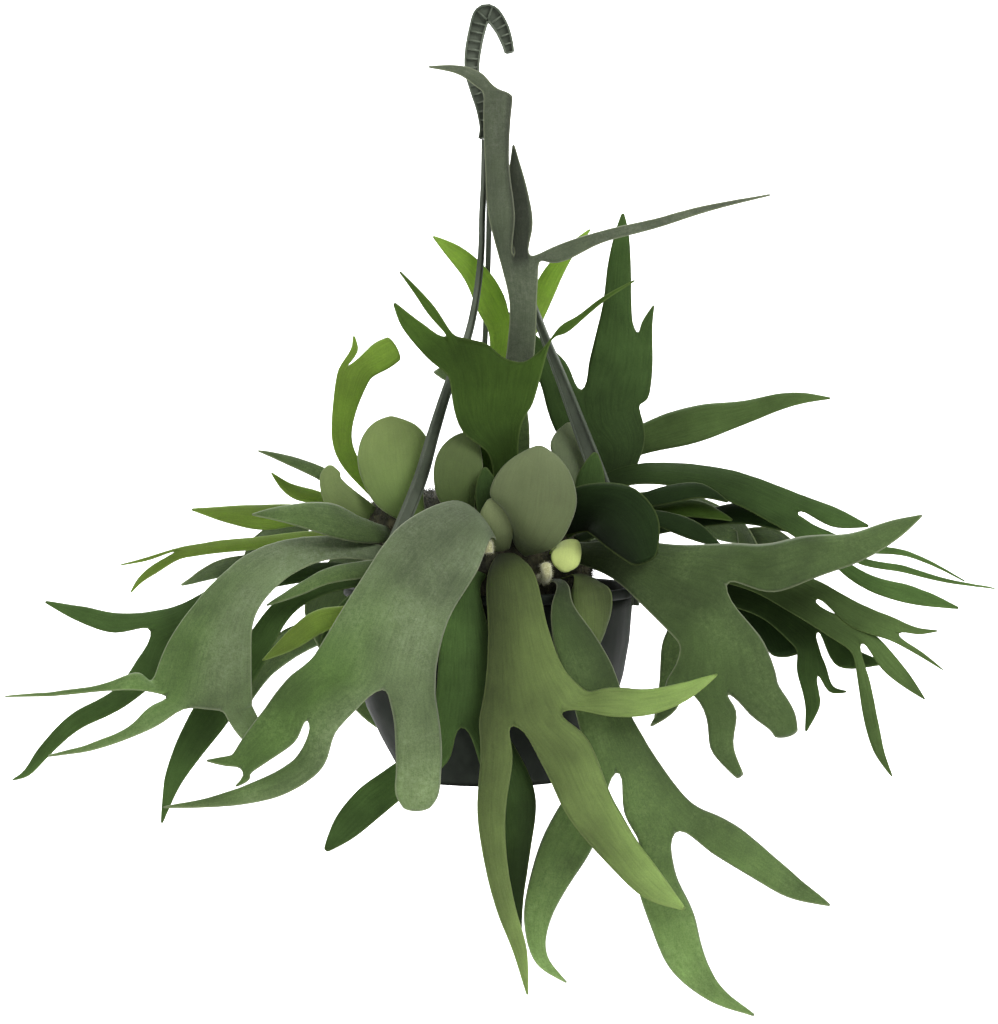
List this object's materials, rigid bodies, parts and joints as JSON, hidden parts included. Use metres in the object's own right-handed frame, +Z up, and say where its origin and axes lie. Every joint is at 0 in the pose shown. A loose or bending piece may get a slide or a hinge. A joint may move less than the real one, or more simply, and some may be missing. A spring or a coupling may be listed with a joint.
{
  "type": "staghorn fern in a hanging pot",
  "caption": "Staghorn fern with forked grey-green fronds and rounded shield fronds, growing from a fibrous rhizome in a round plastic pot hung by a hook and straps.",
  "frame": {"origin": "the seat under the top of the hook, where a rail or screw hook carries the pot, on the pot's vertical axis", "axes": "+Z up along the pot's axis, +X to the viewer's right, -Y towards the front of the plant"},
  "size_m": [0.5647, 0.2404, 0.5695],
  "materials": {
    "frond_grey_green": "matt grey-green felted leaf",
    "frond_deep_green": "matt deep green leaf",
    "frond_yellow_green": "matt yellow-green leaf, lit through",
    "shield_frond": "smooth pale green shield leaf",
    "crozier_felt": "pale furry young leaf",
    "rhizome_fibre": "coarse brown fibre",
    "potting_mix": "damp bark mix",
    "pot_plastic": "dark grey-green satin plastic",
    "hanger_plastic": "dark grey-green satin plastic"
  },
  "bodies": {
    "root": {"crozier_lower": "crozier_felt", "crozier_upper": "crozier_felt", "frond_back_arch_left": "frond_grey_green", "frond_back_arch_right": "frond_grey_green", "frond_back_centre": "frond_grey_green", "frond_back_left": "frond_grey_green", "frond_back_right": "frond_grey_green", "frond_back_upper": "frond_grey_green", "frond_centre_bowl": "frond_deep_green", "frond_centre_light": "frond_yellow_green", "frond_centre_tall": "frond_grey_green", "frond_front_left": "frond_grey_green", "frond_front_right": "frond_yellow_green", "frond_front_shadow": "frond_deep_green", "frond_left_back": "frond_yellow_green", "frond_left_big": "frond_grey_green", "frond_left_broad": "frond_grey_green", "frond_left_dark": "frond_deep_green", "frond_left_forked": "frond_yellow_green", "frond_left_inner": "frond_deep_green", "frond_left_light": "frond_yellow_green", "frond_left_small": "frond_yellow_green", "frond_left_strap": "frond_grey_green", "frond_left_thin": "frond_grey_green", "frond_left_under": "frond_deep_green", "frond_left_young": "frond_yellow_green", "frond_low_right": "frond_grey_green", "frond_right_arch": "frond_deep_green", "frond_right_big": "frond_grey_green", "frond_right_fold": "frond_deep_green", "frond_right_hollow": "frond_deep_green", "frond_right_low": "frond_grey_green", "frond_right_outer": "frond_grey_green", "frond_right_tall": "frond_deep_green", "frond_right_upper": "frond_grey_green", "frond_right_wavy": "frond_yellow_green", "hanger_hook": "hanger_plastic", "hanger_strap_back": "hanger_plastic", "hanger_strap_left": "hanger_plastic", "hanger_strap_right": "hanger_plastic", "pot": "pot_plastic", "potting_mix": "potting_mix", "rhizome": "rhizome_fibre", "shield_behind": "shield_frond", "shield_centre": "shield_frond", "shield_left": "shield_frond", "shield_left_crown": "shield_frond", "shield_round": "shield_frond", "shield_young": "shield_frond"}
  },
  "joints": []
}
